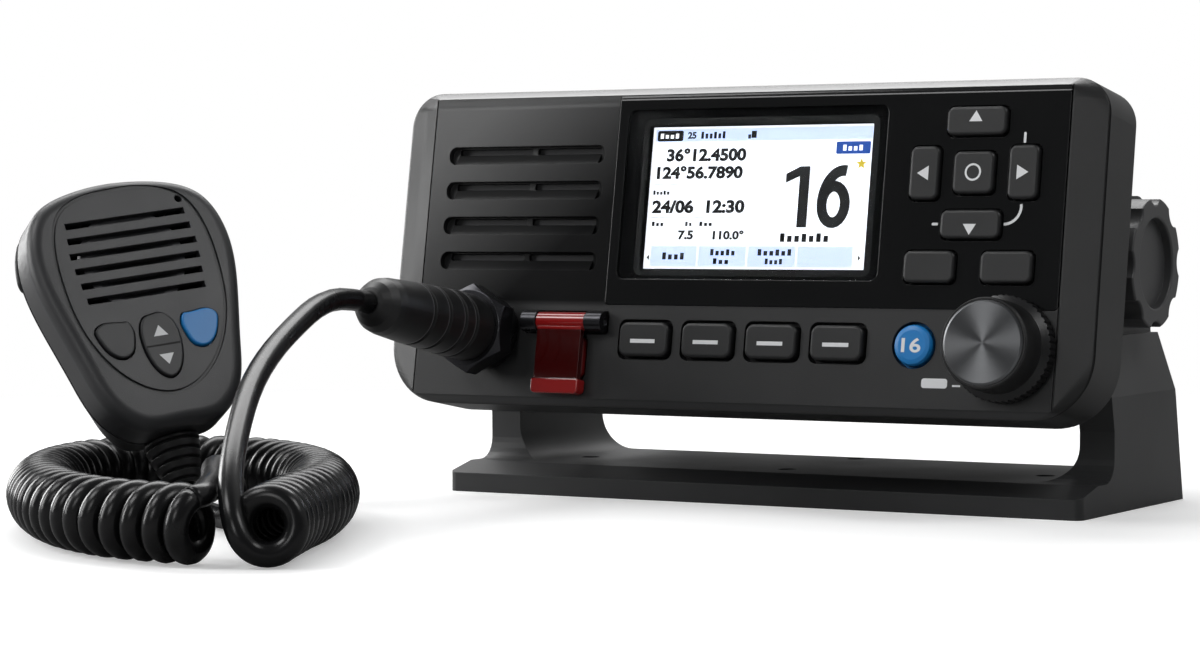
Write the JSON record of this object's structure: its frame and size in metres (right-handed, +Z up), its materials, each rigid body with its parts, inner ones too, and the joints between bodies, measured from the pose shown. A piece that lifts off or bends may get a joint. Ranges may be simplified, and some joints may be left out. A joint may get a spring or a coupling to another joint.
{
  "type": "marine radio",
  "caption": "Fixed-mount VHF radio on a tilting bracket with clamp knobs, with screen, keys, volume knob, guarded distress key and a fist microphone on a curly cord.",
  "frame": {"origin": "centre of the bracket base's underside, midway between its two side screw holes", "axes": "+X to the right as seen from the front, +Y to the rear, +Z up"},
  "size_m": [0.2228, 0.2643, 0.0951],
  "materials": {
    "panel_black": "fine moulded texture",
    "deck_gloss": "high gloss",
    "window_glass": "clear, dark edge",
    "screen": "lit screen",
    "key_grey": "satin",
    "key_blue": "satin",
    "red_button": "gloss",
    "red_cover": "clear red, gloss",
    "dark_metal": "dark plated",
    "knob_dark": "satin",
    "knob_face": "brushed",
    "rubber_black": "matt",
    "cord_black": "satin",
    "silicone": "matt",
    "chassis_black": "black powder coat",
    "bracket_black": "fine moulded texture",
    "clamp_black": "satin",
    "steel": "plain",
    "nickel": "plated",
    "connector_black": "plain",
    "board_green": "solder mask",
    "speaker_steel": "plain",
    "speaker_paper": "pressed paper",
    "mic_shell": "fine moulded texture",
    "mic_key_grey": "satin"
  },
  "bodies": {
    "root": {"bracket": "bracket_black", "cord_lead": "cord_black", "cord_coil": "cord_black", "cord_tail": "cord_black"},
    "radio": {"front_panel": "panel_black", "display_panel": "deck_gloss", "window": "window_glass", "lcd_module": "screen", "key_mat": "silicone", "front_board": "board_green", "grille_mesh": "steel", "speaker_frame": "speaker_steel", "speaker_cone": "speaker_paper", "distress_hinge_pin": "steel", "cover_hinge": "dark_metal", "encoder": "connector_black", "mic_socket": "dark_metal", "plug_boot": "rubber_black", "body_gasket": "rubber_black", "rear_chassis": "chassis_black", "rear_screws": "steel", "board_screws": "steel", "main_board": "board_green", "rf_shield": "steel", "antenna_socket": "nickel", "data_connector": "connector_black", "power_gland": "rubber_black", "tilt_washers": "steel"},
    "key_up": {"key_up": "key_grey"},
    "key_down": {"key_down": "key_grey"},
    "key_left": {"key_left": "key_grey"},
    "key_right": {"key_right": "key_grey"},
    "key_enter": {"key_enter": "key_grey"},
    "key_menu": {"key_menu": "key_grey"},
    "key_clear": {"key_clear": "key_grey"},
    "soft_key_1": {"soft_key_1": "key_grey"},
    "soft_key_2": {"soft_key_2": "key_grey"},
    "soft_key_3": {"soft_key_3": "key_grey"},
    "soft_key_4": {"soft_key_4": "key_grey"},
    "key_channel": {"key_channel": "key_blue"},
    "distress_key": {"distress_key": "red_button"},
    "distress_cover": {"distress_cover": "red_cover"},
    "encoder_shaft": {"encoder_shaft": "steel"},
    "volume_knob": {"knob_barrel": "knob_dark", "knob_cap": "knob_face"},
    "plug_nut": {"plug_nut": "dark_metal"},
    "clamp_knob_left": {"clamp_knob_left": "clamp_black"},
    "clamp_knob_right": {"clamp_knob_right": "clamp_black"},
    "mic": {"mic_front_cover": "mic_shell", "mic_rear_cover": "mic_shell", "mic_gasket": "rubber_black", "mic_board": "board_green", "mic_speaker": "speaker_steel", "mic_relief": "rubber_black", "mic_screws": "steel", "mic_hanger_stud": "mic_shell"},
    "mic_ptt_button": {"mic_ptt_button": "mic_key_grey"},
    "mic_key_power": {"mic_key_power": "mic_key_grey"},
    "mic_key_channel": {"mic_key_channel": "key_blue"},
    "mic_rocker": {"mic_rocker": "mic_key_grey"}
  },
  "joints": [
    {"name": "radio_tilt", "type": "hinge", "parent": "root", "child": "radio", "pos_m": [0, -0.001, 0.055], "axis": [1, 0, 0], "range_deg": [-7.5, 21], "deforming": ["cord_lead"]},
    {"name": "key_up_press", "type": "slide", "parent": "radio", "child": "key_up", "axis": [0, 0.986, -0.1668], "range_m": [0, 0.0008], "stiffness_N_per_m": 600, "springref_m": -0.0005},
    {"name": "key_down_press", "type": "slide", "parent": "radio", "child": "key_down", "axis": [0, 0.986, -0.1668], "range_m": [0, 0.0008], "stiffness_N_per_m": 600, "springref_m": -0.0005},
    {"name": "key_left_press", "type": "slide", "parent": "radio", "child": "key_left", "axis": [0, 0.986, -0.1668], "range_m": [0, 0.0008], "stiffness_N_per_m": 600, "springref_m": -0.0005},
    {"name": "key_right_press", "type": "slide", "parent": "radio", "child": "key_right", "axis": [0, 0.986, -0.1668], "range_m": [0, 0.0008], "stiffness_N_per_m": 600, "springref_m": -0.0005},
    {"name": "key_enter_press", "type": "slide", "parent": "radio", "child": "key_enter", "axis": [0, 0.986, -0.1668], "range_m": [0, 0.0008], "stiffness_N_per_m": 600, "springref_m": -0.0005},
    {"name": "key_menu_press", "type": "slide", "parent": "radio", "child": "key_menu", "axis": [0, 0.986, -0.1668], "range_m": [0, 0.0008], "stiffness_N_per_m": 600, "springref_m": -0.0005},
    {"name": "key_clear_press", "type": "slide", "parent": "radio", "child": "key_clear", "axis": [0, 0.986, -0.1668], "range_m": [0, 0.0008], "stiffness_N_per_m": 600, "springref_m": -0.0005},
    {"name": "soft_key_1_press", "type": "slide", "parent": "radio", "child": "soft_key_1", "axis": [0, 0.986, -0.1668], "range_m": [0, 0.0008], "stiffness_N_per_m": 600, "springref_m": -0.0005},
    {"name": "soft_key_2_press", "type": "slide", "parent": "radio", "child": "soft_key_2", "axis": [0, 0.986, -0.1668], "range_m": [0, 0.0008], "stiffness_N_per_m": 600, "springref_m": -0.0005},
    {"name": "soft_key_3_press", "type": "slide", "parent": "radio", "child": "soft_key_3", "axis": [0, 0.986, -0.1668], "range_m": [0, 0.0008], "stiffness_N_per_m": 600, "springref_m": -0.0005},
    {"name": "soft_key_4_press", "type": "slide", "parent": "radio", "child": "soft_key_4", "axis": [0, 0.986, -0.1668], "range_m": [0, 0.0008], "stiffness_N_per_m": 600, "springref_m": -0.0005},
    {"name": "key_channel_press", "type": "slide", "parent": "radio", "child": "key_channel", "axis": [0, 0.986, -0.1668], "range_m": [0, 0.0008], "stiffness_N_per_m": 600, "springref_m": -0.0005},
    {"name": "distress_key_press", "type": "slide", "parent": "radio", "child": "distress_key", "axis": [0, 0.986, -0.1668], "range_m": [0, 0.0008], "stiffness_N_per_m": 600, "springref_m": -0.0005},
    {"name": "distress_cover_hinge", "type": "hinge", "parent": "radio", "child": "distress_cover", "pos_m": [-0.04025, -0.04453, 0.04167], "axis": [-1, 0, 0], "range_deg": [0, 110], "stiffness_Nm_per_rad": 0.004, "springref_deg": -20.05},
    {"name": "volume_push", "type": "slide", "parent": "radio", "child": "encoder_shaft", "axis": [0, 0.986, -0.1668], "range_m": [0, 0.0006], "stiffness_N_per_m": 800, "springref_m": -0.0006},
    {"name": "volume_turn", "type": "hinge", "parent": "encoder_shaft", "child": "volume_knob", "pos_m": [0.0698, -0.05219, 0.0384], "axis": [0, 0.986, -0.1668], "continuous": true},
    {"name": "plug_nut_turn", "type": "hinge", "parent": "radio", "child": "plug_nut", "pos_m": [-0.0616, -0.05011, 0.03988], "axis": [0, 0.986, -0.1668], "continuous": true},
    {"name": "clamp_left_turn", "type": "hinge", "parent": "radio", "child": "clamp_knob_left", "pos_m": [-0.082, -0.001, 0.055], "axis": [1, 0, 0], "continuous": true},
    {"name": "clamp_right_turn", "type": "hinge", "parent": "radio", "child": "clamp_knob_right", "pos_m": [0.082, -0.001, 0.055], "axis": [1, 0, 0], "continuous": true},
    {"name": "mic_lift", "type": "slide", "parent": "root", "child": "mic", "axis": [0, 0, 1], "range_m": [0, 0.03], "deforming": ["cord_tail"]},
    {"name": "mic_ptt_press", "type": "slide", "parent": "mic", "child": "mic_ptt_button", "axis": [0.4923, 0.8606, 0.1305], "range_m": [0, 0.0012], "stiffness_N_per_m": 900, "springref_m": -0.0006},
    {"name": "mic_key_power_press", "type": "slide", "parent": "mic", "child": "mic_key_power", "axis": [-0.7665, 0.4997, -0.4035], "range_m": [0, 0.0006], "stiffness_N_per_m": 600, "springref_m": -0.0005},
    {"name": "mic_key_channel_press", "type": "slide", "parent": "mic", "child": "mic_key_channel", "axis": [-0.7665, 0.4997, -0.4035], "range_m": [0, 0.0006], "stiffness_N_per_m": 600, "springref_m": -0.0005},
    {"name": "mic_rocker_tip", "type": "hinge", "parent": "mic", "child": "mic_rocker", "pos_m": [-0.101, -0.11707, 0.03629], "axis": [0.4923, 0.8606, 0.1305], "range_deg": [-2.5, 2.5], "stiffness_Nm_per_rad": 0.02}
  ]
}
